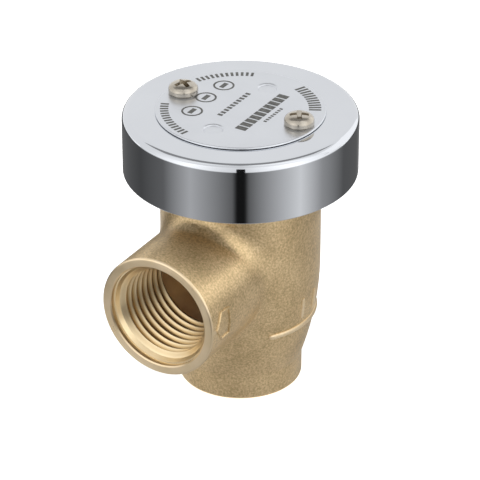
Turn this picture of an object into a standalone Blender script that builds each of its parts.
"""Half-inch air inlet valve: brass angle body, chromed hood, and a float that lifts under water pressure.

Metres, +Z up. The valve's axis is Z, the inlet face lies at z = 0 and the outlet points along -Y.
"""

import math

import bmesh
import bpy

# Driving dimensions
HOOD_RADIUS = 0.0240
HOOD_TOP = 0.0609
HOOD_SKIRT = 0.0129
BODY_RADIUS = 0.01655
BODY_TOP = 0.0500
PORT_RADIUS = 0.0129
OUTLET_REACH = 0.0323
OUTLET_HEIGHT = 0.0289
SCREW_SPREAD = 0.0136
FLOAT_TRAVEL = 0.0075
GAP = 0.00025

# Half-inch taper pipe thread, 14 turns to the inch, 1 in 16 on diameter
PITCH = 0.0254 / 14
TAPER = 1 / 32
MAJOR_RADIUS = 0.0106
MINOR_RADIUS = 0.0092
MOUTH_RADIUS = 0.0111
MOUTH_CHAMFER = 0.0003
LEAD_IN = 0.0042
LEAD_IN_RADIUS = 0.0094
SOCKET_DEPTH = 0.0167
SOCKET_END_RADIUS = 0.0095

# Body
SPIGOT_HEIGHT = 0.0053
BELL_TOP = 0.0274
RIM_CHAMFER = 0.0005
FILLET_SIDE = 0.0026
FILLET_TOP = 0.0042
FILLET_SWEEP = math.radians(78)
FILLET_ROOT = 0.0012
PORT_CORE_RADIUS = 0.0109
PORT_CORE_Y = -0.0060
CHAMBER_RADIUS = 0.0109
CHAMBER_FLOOR = 0.0192
PASSAGE_RADIUS = 0.0096
TAPPED_RADIUS = 0.00175
TAPPED_BOTTOM = 0.0390

# Inlet seat
SEAT_TOP = 0.0340
SEAT_BORE = 0.0056
SEAT_TUBE = 0.0076
SEAT_LIP = 0.0066
SEAT_SHANK = 0.0070
SEAT_FLANGE = 0.0094
SEAT_FLANGE_HEIGHT = 0.0022
SEAT_GASKET = 0.0008

# Float
GUIDE_RADIUS = 0.0053
GUIDE_BOTTOM = 0.0200
GUIDE_HUB = 0.0028
GUIDE_HUB_BOTTOM = 0.0230
GUIDE_FLANGE = 0.0010
VANE_WIDTH = 0.0012
VANE_COUNT = 4
DISC_RADIUS = 0.0098
DISC_THICKNESS = 0.0024
DISC_EDGE = 0.0005
WASHER_RADIUS = 0.0055
WASHER_THICKNESS = 0.0008
FLOAT_SCREW_RADIUS = 0.00125
FLOAT_SCREW_BOTTOM = 0.0262
FLOAT_SCREW_HOLE_BOTTOM = 0.0255
FLOAT_HEAD_RADIUS = 0.0025
FLOAT_HEAD_HEIGHT = 0.0016

# Vent seat above the float
GASKET_THICKNESS = 0.0010
GASKET_BORE = 0.0116
GASKET_RADIUS = 0.0163
VENT_FLANGE = 0.0020
VENT_PORT = 0.0068
VENT_NECK = 0.0088
VENT_LIP = 0.0078
VENT_LIP_DEPTH = 0.0008

# Hood, plate and the screws that clamp the stack
HOOD_CORNER = 0.0015
HOOD_WALL = 0.0008
SPACER_RADIUS = 0.0026
SCREW_RADIUS = 0.0015
SCREW_HOLE = 0.0018
SCREW_BOTTOM = 0.0400
HEAD_RADIUS = 0.00305
HEAD_HEIGHT = 0.0018
HEAD_ROUND = 0.0011
RECESS_WIDTH = 0.0009
RECESS_LENGTH = 0.0034
RECESS_DEPTH = 0.0012
PLATE_RADIUS = 0.0173
PLATE_THICKNESS = 0.0003
DIMPLE_SPREAD = 0.0106
DIMPLE_RADIUS = 0.0018
DIMPLE_DEPTH = 0.00015

# Heights that follow from the stack
DISC_BOTTOM = SEAT_TOP + GAP
DISC_TOP = DISC_BOTTOM + DISC_THICKNESS
WASHER_BOTTOM = DISC_TOP + GAP
WASHER_TOP = WASHER_BOTTOM + WASHER_THICKNESS
FLOAT_HEAD_BOTTOM = WASHER_TOP + GAP
VENT_LIP_Z = DISC_TOP + FLOAT_TRAVEL + GAP
SEAT_FLANGE_BOTTOM = CHAMBER_FLOOR + GAP + SEAT_GASKET + GAP
GASKET_BOTTOM = BODY_TOP + GAP
VENT_BOTTOM = GASKET_BOTTOM + GASKET_THICKNESS + GAP
VENT_TOP = VENT_BOTTOM + VENT_FLANGE
HOOD_UNDERSIDE = HOOD_TOP - HOOD_WALL
PLATE_BOTTOM = HOOD_TOP + GAP
PLATE_TOP = PLATE_BOTTOM + PLATE_THICKNESS
HEAD_BOTTOM = PLATE_TOP + GAP
HEAD_TOP = HEAD_BOTTOM + HEAD_HEIGHT

# Facets
ROUND_STEPS = 48
THREAD_STEPS = 32
SMALL_STEPS = 24
HALF_FACET = math.pi / SMALL_STEPS
ARC_STEPS = 5
BELL_STEPS = 8
SMOOTH_ANGLE = math.radians(35)
PASS = 0.001
MERGE = 1e-7

SIDES = (("left", -1), ("right", 1))


def clear_scene():
    for obj in list(bpy.data.objects):
        bpy.data.objects.remove(obj)


def finish_material(name, colour, roughness, metallic):
    material = bpy.data.materials.new(name)
    material.use_nodes = True
    shader = material.node_tree.nodes["Principled BSDF"]
    shader.inputs["Base Color"].default_value = (*colour, 1)
    shader.inputs["Roughness"].default_value = roughness
    shader.inputs["Metallic"].default_value = metallic
    return material


def object_from(mesh_builder, name, material=None):
    """A closed, smooth-shaded object from a bmesh, at the origin."""
    bmesh.ops.remove_doubles(mesh_builder, verts=mesh_builder.verts[:], dist=MERGE)
    bmesh.ops.recalc_face_normals(mesh_builder, faces=mesh_builder.faces[:])
    mesh = bpy.data.meshes.new(name)
    mesh_builder.to_mesh(mesh)
    mesh_builder.free()
    mesh.shade_smooth()
    mesh.set_sharp_from_angle(angle=SMOOTH_ANGLE)
    obj = bpy.data.objects.new(name, mesh)
    bpy.context.scene.collection.objects.link(obj)
    if material:
        mesh.materials.append(material)
    return obj


def as_cutter(obj):
    obj.hide_render = True
    obj.display_type = "WIRE"
    return obj


def combine(obj, other, operation):
    modifier = obj.modifiers.new(f"{operation.lower()} {other.name}", "BOOLEAN")
    modifier.operation = operation
    modifier.solver = "EXACT"
    modifier.object = as_cutter(other)


def arc(centre_radius, centre_height, radius, start, end, steps=ARC_STEPS):
    """Profile points (radius, height) on an arc, angles in degrees from the outward direction."""
    points = []
    for step in range(steps + 1):
        angle = math.radians(start + (end - start) * step / steps)
        points.append((centre_radius + radius * math.cos(angle), centre_height + radius * math.sin(angle)))
    return points


def turned(name, profile, material=None, steps=ROUND_STEPS):
    """A solid turned about Z from profile points (radius, height); the profile's ends are joined."""
    builder = bmesh.new()
    verts = [builder.verts.new((radius, 0, height)) for radius, height in profile]
    edges = []
    for index, vert in enumerate(verts):
        after = verts[(index + 1) % len(verts)]
        on_axis = vert.co.x < MERGE and after.co.x < MERGE
        if not on_axis:
            edges.append(builder.edges.new((vert, after)))
    bmesh.ops.spin(
        builder, geom=verts + edges, cent=(0, 0, 0), axis=(0, 0, 1), angle=math.tau, steps=steps, use_merge=True
    )
    return object_from(builder, name, material)


def rod(name, radius, bottom, top, steps=SMALL_STEPS):
    return turned(name, [(0, bottom), (radius, bottom), (radius, top), (0, top)], None, steps)


def tube(name, outer, inner, bottom, top, material, steps=SMALL_STEPS):
    return turned(name, [(inner, bottom), (outer, bottom), (outer, top), (inner, top)], material, steps)


def block(name, size, centre):
    builder = bmesh.new()
    bmesh.ops.create_cube(builder, size=1)
    bmesh.ops.scale(builder, vec=size, verts=builder.verts[:])
    bmesh.ops.translate(builder, vec=centre, verts=builder.verts[:])
    return object_from(builder, name)


def lofted(name, rings, material=None):
    """A closed solid through rings of equal point counts, capped at both ends."""
    builder = bmesh.new()
    loops = [[builder.verts.new(point) for point in ring] for ring in rings]
    for lower, upper in zip(loops, loops[1:]):
        for index in range(len(lower)):
            after = (index + 1) % len(lower)
            corners = []
            for vert in (lower[index], lower[after], upper[after], upper[index]):
                if not any((vert.co - other.co).length < MERGE for other in corners):
                    corners.append(vert)
            if len(corners) > 2:
                builder.faces.new(corners)
    builder.faces.new(loops[0])
    builder.faces.new(loops[-1])
    return object_from(builder, name, material)


def screw_holes(obj, label, radius, bottom, top):
    """Bores the two clamp screw holes through an object."""
    for side, sign in SIDES:
        cutter = rod(f"{label}_hole_{side}", radius, bottom, top)
        cutter.location.x = sign * SCREW_SPREAD
        cutter.rotation_euler.z = HALF_FACET
        combine(obj, cutter, "DIFFERENCE")


def bell_radius(height):
    """Outer radius of the body: a shallow arc from the spigot that meets the straight barrel tangentially."""
    if height >= BELL_TOP:
        return BODY_RADIUS
    rise = BELL_TOP - SPIGOT_HEIGHT
    swell = BODY_RADIUS - PORT_RADIUS
    arc_radius = (rise**2 + swell**2) / (2 * swell)
    return BODY_RADIUS - arc_radius + math.sqrt(arc_radius**2 - (BELL_TOP - height) ** 2)


def body_barrel(material):
    profile = [(0, 0), (PORT_RADIUS - RIM_CHAMFER, 0), (PORT_RADIUS, RIM_CHAMFER)]
    for step in range(BELL_STEPS + 1):
        height = SPIGOT_HEIGHT + (BELL_TOP - SPIGOT_HEIGHT) * step / BELL_STEPS
        profile.append((bell_radius(height), height))
    profile += [(BODY_RADIUS, BODY_TOP - RIM_CHAMFER), (BODY_RADIUS - RIM_CHAMFER, BODY_TOP), (0, BODY_TOP)]
    return turned("valve_body", profile, material)


def port_ring(radius_at, depth_at):
    """A ring about the outlet's axis, from a radius and a y for each angle and point."""
    ring = []
    for step in range(ROUND_STEPS):
        angle = math.tau * step / ROUND_STEPS
        radius = radius_at(angle)
        x = radius * math.cos(angle)
        z = OUTLET_HEIGHT + radius * math.sin(angle)
        ring.append((x, depth_at(angle, x, z), z))
    return ring


def fillet_radius(angle):
    """The fillet is fuller above and below the outlet than at its sides."""
    return FILLET_SIDE + (FILLET_TOP - FILLET_SIDE) * math.sin(angle) ** 2


def barrel_front(x, z):
    return -math.sqrt(bell_radius(z) ** 2 - x**2)


def fillet_ring(sweep, sink=0.0):
    """A ring on the fillet where it has turned by that angle, sunk into the barrel by that much."""
    return port_ring(
        lambda angle: PORT_RADIUS + fillet_radius(angle) * (1 - math.cos(sweep)),
        lambda angle, x, z: barrel_front(x, z) - fillet_radius(angle) * (1 - math.sin(sweep)) + sink,
    )


def outlet_boss():
    """The outlet's boss, with a fillet that runs out along the barrel's surface."""
    rings = [port_ring(lambda angle: PORT_RADIUS - RIM_CHAMFER, lambda angle, x, z: -OUTLET_REACH)]
    rings.append(port_ring(lambda angle: PORT_RADIUS, lambda angle, x, z: -OUTLET_REACH + RIM_CHAMFER))
    for step in range(ARC_STEPS + 1):
        rings.append(fillet_ring(FILLET_SWEEP * step / ARC_STEPS))
    rings.append(fillet_ring(FILLET_SWEEP, FILLET_ROOT))
    rings.append(port_ring(lambda angle: PORT_CORE_RADIUS, lambda angle, x, z: PORT_CORE_Y))
    return lofted("outlet_boss", rings)


def thread_ring(radius_at, depth_at):
    ring = []
    for step in range(THREAD_STEPS):
        turn = step / THREAD_STEPS
        angle = math.tau * turn
        depth = depth_at(turn)
        radius = radius_at(depth)
        ring.append((radius * math.cos(angle), radius * math.sin(angle), depth))
    return ring


def thread_plug(name):
    """The hollow of one taper-threaded socket: mouth at z = 0, going in along +Z, with a right-hand helix.

    A chamfer and a cone lead in to the first turn.
    """
    rings = [
        thread_ring(lambda depth: MOUTH_RADIUS + MOUTH_CHAMFER, lambda turn: -MOUTH_CHAMFER),
        thread_ring(lambda depth: MOUTH_RADIUS - MOUTH_CHAMFER, lambda turn: MOUTH_CHAMFER),
    ]

    def radius_near(plain):
        def radius_at(depth):
            if depth <= LEAD_IN:
                return LEAD_IN_RADIUS
            if depth >= SOCKET_DEPTH:
                return SOCKET_END_RADIUS
            return plain - (depth - LEAD_IN) * TAPER

        return radius_at

    half_turns = 2 * math.ceil((SOCKET_DEPTH - LEAD_IN) / PITCH)
    for row in range(-1, half_turns + 1):
        plain = MINOR_RADIUS if row % 2 else MAJOR_RADIUS

        def depth_at(turn, row=row):
            return min(max(LEAD_IN + (row / 2 + turn) * PITCH, LEAD_IN), SOCKET_DEPTH)

        rings.append(thread_ring(radius_near(plain), depth_at))
    return lofted(name, rings)


def make_body(material):
    body = body_barrel(material)
    combine(body, outlet_boss(), "UNION")
    chamber = [
        (0, SOCKET_DEPTH - PASS),
        (SEAT_SHANK + GAP, SOCKET_DEPTH - PASS),
        (SEAT_SHANK + GAP, CHAMBER_FLOOR),
        (CHAMBER_RADIUS, CHAMBER_FLOOR),
        (CHAMBER_RADIUS, BODY_TOP + PASS),
        (0, BODY_TOP + PASS),
    ]
    combine(body, turned("float_chamber", chamber), "DIFFERENCE")
    passage = rod("outlet_passage", PASSAGE_RADIUS, SOCKET_DEPTH - PASS, OUTLET_REACH, ROUND_STEPS)
    outlet = thread_plug("outlet_thread")
    for cutter in (passage, outlet):
        cutter.location = (0, -OUTLET_REACH, OUTLET_HEIGHT)
        cutter.rotation_euler.x = math.radians(-90)
    combine(body, passage, "DIFFERENCE")
    combine(body, outlet, "DIFFERENCE")
    combine(body, thread_plug("inlet_thread"), "DIFFERENCE")
    screw_holes(body, "tapped", TAPPED_RADIUS, TAPPED_BOTTOM, BODY_TOP + PASS)


def make_inlet_seat(brass, fibre):
    profile = [
        (SEAT_BORE, SOCKET_DEPTH + GAP),
        (SEAT_SHANK, SOCKET_DEPTH + GAP),
        (SEAT_SHANK, SEAT_FLANGE_BOTTOM),
        (SEAT_FLANGE, SEAT_FLANGE_BOTTOM),
        (SEAT_FLANGE, SEAT_FLANGE_BOTTOM + SEAT_FLANGE_HEIGHT),
        (SEAT_TUBE, SEAT_FLANGE_BOTTOM + SEAT_FLANGE_HEIGHT),
        (SEAT_TUBE, SEAT_TOP - (SEAT_TUBE - SEAT_LIP)),
        (SEAT_LIP, SEAT_TOP),
        (SEAT_BORE, SEAT_TOP),
    ]
    turned("inlet_seat", profile, brass)
    gasket_bottom = CHAMBER_FLOOR + GAP
    tube(
        "seat_gasket", SEAT_FLANGE, SEAT_SHANK + GAP, gasket_bottom, gasket_bottom + SEAT_GASKET, fibre, ROUND_STEPS
    )


def make_float_guide(material):
    flange_bottom = SEAT_TOP - GUIDE_FLANGE
    profile = [
        (0, GUIDE_HUB_BOTTOM),
        (GUIDE_HUB, GUIDE_HUB_BOTTOM + GUIDE_HUB),
        (GUIDE_HUB, flange_bottom),
        (GUIDE_RADIUS, flange_bottom),
        (GUIDE_RADIUS, SEAT_TOP),
        (0, SEAT_TOP),
    ]
    guide = turned("float_guide", profile, material, SMALL_STEPS)
    vane_top = SEAT_TOP - GUIDE_FLANGE / 2
    size = (GUIDE_RADIUS - GAP, VANE_WIDTH, vane_top - GUIDE_BOTTOM)
    for index in range(VANE_COUNT):
        vane = block(f"guide_vane_{index + 1}", size, (size[0] / 2, 0, (vane_top + GUIDE_BOTTOM) / 2))
        vane.rotation_euler.z = math.tau * index / VANE_COUNT
        combine(guide, vane, "UNION")
    hole = rod("guide_hole", FLOAT_SCREW_RADIUS + GAP, FLOAT_SCREW_HOLE_BOTTOM, SEAT_TOP + PASS)
    combine(guide, hole, "DIFFERENCE")
    return guide


def make_silicone_disc(material):
    bore = FLOAT_SCREW_RADIUS + GAP
    profile = [(bore, DISC_BOTTOM), (DISC_RADIUS - DISC_EDGE, DISC_BOTTOM)]
    profile += [(DISC_RADIUS, DISC_BOTTOM + DISC_EDGE), (DISC_RADIUS, DISC_TOP - DISC_EDGE)]
    profile += [(DISC_RADIUS - DISC_EDGE, DISC_TOP), (bore, DISC_TOP)]
    return turned("silicone_disc", profile, material)


def pan_head(bottom, height, radius, rounding):
    """Profile of a pan head from its underside's edge to its middle."""
    shoulder = arc(radius - rounding, bottom + height - rounding, rounding, 0, 90)
    return [(radius, bottom), *shoulder, (0, bottom + height)]


def cross_recess(screw, top, length, width, depth):
    """Sinks a cross for the driver into a screw head."""
    for label, size in (("x", (length, width, 2 * depth)), ("y", (width, length, 2 * depth))):
        cutter = block(f"{screw.name}_recess_{label}", size, (0, 0, top))
        cutter.location = screw.location
        combine(screw, cutter, "DIFFERENCE")


def make_disc_screw(material):
    profile = [(0, FLOAT_SCREW_BOTTOM), (FLOAT_SCREW_RADIUS, FLOAT_SCREW_BOTTOM)]
    profile.append((FLOAT_SCREW_RADIUS, FLOAT_HEAD_BOTTOM))
    profile += pan_head(FLOAT_HEAD_BOTTOM, FLOAT_HEAD_HEIGHT, FLOAT_HEAD_RADIUS, FLOAT_HEAD_HEIGHT / 2)
    screw = turned("disc_screw", profile, material, SMALL_STEPS)
    scale = FLOAT_HEAD_RADIUS / HEAD_RADIUS
    top = FLOAT_HEAD_BOTTOM + FLOAT_HEAD_HEIGHT
    cross_recess(screw, top, RECESS_LENGTH * scale, RECESS_WIDTH * scale, RECESS_DEPTH * scale)
    return screw


def make_float(plastic, silicone, steel):
    carrier = bpy.data.objects.new("float_carrier", None)
    bpy.context.scene.collection.objects.link(carrier)
    washer_bore = FLOAT_SCREW_RADIUS + GAP
    pieces = [
        make_float_guide(plastic),
        make_silicone_disc(silicone),
        tube("disc_washer", WASHER_RADIUS, washer_bore, WASHER_BOTTOM, WASHER_TOP, steel, ROUND_STEPS),
        make_disc_screw(steel),
    ]
    for piece in pieces:
        piece.parent = carrier


def make_vent_seat(brass, rubber):
    gasket_top = GASKET_BOTTOM + GASKET_THICKNESS
    gasket = tube("vent_gasket", GASKET_RADIUS, GASKET_BORE, GASKET_BOTTOM, gasket_top, rubber, ROUND_STEPS)
    screw_holes(gasket, "gasket", SCREW_HOLE, GASKET_BOTTOM - PASS, gasket_top + PASS)
    profile = [
        (VENT_PORT, VENT_LIP_Z),
        (VENT_LIP, VENT_LIP_Z),
        (VENT_NECK, VENT_LIP_Z + VENT_LIP_DEPTH),
        (VENT_NECK, VENT_BOTTOM),
        (BODY_RADIUS, VENT_BOTTOM),
        (BODY_RADIUS, VENT_TOP - RIM_CHAMFER),
        (BODY_RADIUS - RIM_CHAMFER, VENT_TOP),
        (VENT_PORT + RIM_CHAMFER, VENT_TOP),
        (VENT_PORT, VENT_TOP - RIM_CHAMFER),
    ]
    plate = turned("vent_seat_plate", profile, brass)
    screw_holes(plate, "vent", SCREW_HOLE, VENT_BOTTOM - PASS, VENT_TOP + PASS)


def make_hood(material):
    rim = HOOD_TOP - HOOD_SKIRT
    inner_corner = HOOD_CORNER - HOOD_WALL
    corner_radius = HOOD_RADIUS - HOOD_CORNER
    corner_height = HOOD_TOP - HOOD_CORNER
    lip = HOOD_WALL / 4
    profile = [(HOOD_RADIUS - HOOD_WALL + lip, rim), (HOOD_RADIUS - lip, rim), (HOOD_RADIUS, rim + lip)]
    profile += arc(corner_radius, corner_height, HOOD_CORNER, 0, 90)
    profile += [(0, HOOD_TOP), (0, HOOD_UNDERSIDE)]
    profile += arc(corner_radius, corner_height, inner_corner, 90, 0)
    profile.append((HOOD_RADIUS - HOOD_WALL, rim + lip))
    hood = turned("hood", profile, material)
    screw_holes(hood, "hood", SCREW_HOLE, HOOD_UNDERSIDE - PASS, HOOD_TOP + PASS)


def make_data_plate(material):
    profile = [(0, PLATE_BOTTOM), (PLATE_RADIUS, PLATE_BOTTOM), (PLATE_RADIUS, PLATE_TOP), (0, PLATE_TOP)]
    plate = turned("data_plate", profile, material)
    screw_holes(plate, "plate", SCREW_HOLE, PLATE_BOTTOM - PASS, PLATE_TOP + PASS)
    for label, sign in (("front", -1), ("back", 1)):
        dimple = rod(f"dimple_{label}", DIMPLE_RADIUS, PLATE_TOP - DIMPLE_DEPTH, PLATE_TOP + PASS)
        dimple.location.y = sign * DIMPLE_SPREAD
        dimple.rotation_euler.z = HALF_FACET
        combine(plate, dimple, "DIFFERENCE")


def make_clamp_screws(material, spacer_material):
    profile = [(0, SCREW_BOTTOM), (SCREW_RADIUS, SCREW_BOTTOM), (SCREW_RADIUS, HEAD_BOTTOM)]
    profile += pan_head(HEAD_BOTTOM, HEAD_HEIGHT, HEAD_RADIUS, HEAD_ROUND)
    for side, sign in SIDES:
        screw = turned(f"hood_screw_{side}", profile, material, SMALL_STEPS)
        screw.location.x = sign * SCREW_SPREAD
        cross_recess(screw, HEAD_TOP, RECESS_LENGTH, RECESS_WIDTH, RECESS_DEPTH)
        spacer = tube(
            f"spacer_{side}", SPACER_RADIUS, SCREW_HOLE, VENT_TOP + GAP, HOOD_UNDERSIDE - GAP, spacer_material
        )
        spacer.location.x = screw.location.x


def main():
    clear_scene()
    brass = finish_material("blasted_brass", (0.42, 0.28, 0.12), 0.45, 1.0)
    turned_brass = finish_material("turned_brass", (0.55, 0.38, 0.16), 0.25, 1.0)
    chrome = finish_material("chrome", (0.62, 0.64, 0.66), 0.06, 1.0)
    satin = finish_material("satin_plate", (0.60, 0.62, 0.64), 0.35, 1.0)
    nickel = finish_material("nickel_steel", (0.55, 0.52, 0.46), 0.22, 1.0)
    plastic = finish_material("guide_plastic", (0.78, 0.77, 0.72), 0.40, 0.0)
    silicone = finish_material("silicone", (0.45, 0.08, 0.05), 0.55, 0.0)
    rubber = finish_material("gasket_rubber", (0.03, 0.03, 0.03), 0.60, 0.0)
    fibre = finish_material("seat_fibre", (0.30, 0.07, 0.04), 0.70, 0.0)
    make_body(brass)
    make_inlet_seat(turned_brass, fibre)
    make_float(plastic, silicone, nickel)
    make_vent_seat(turned_brass, rubber)
    make_hood(chrome)
    make_data_plate(satin)
    make_clamp_screws(nickel, turned_brass)


main()
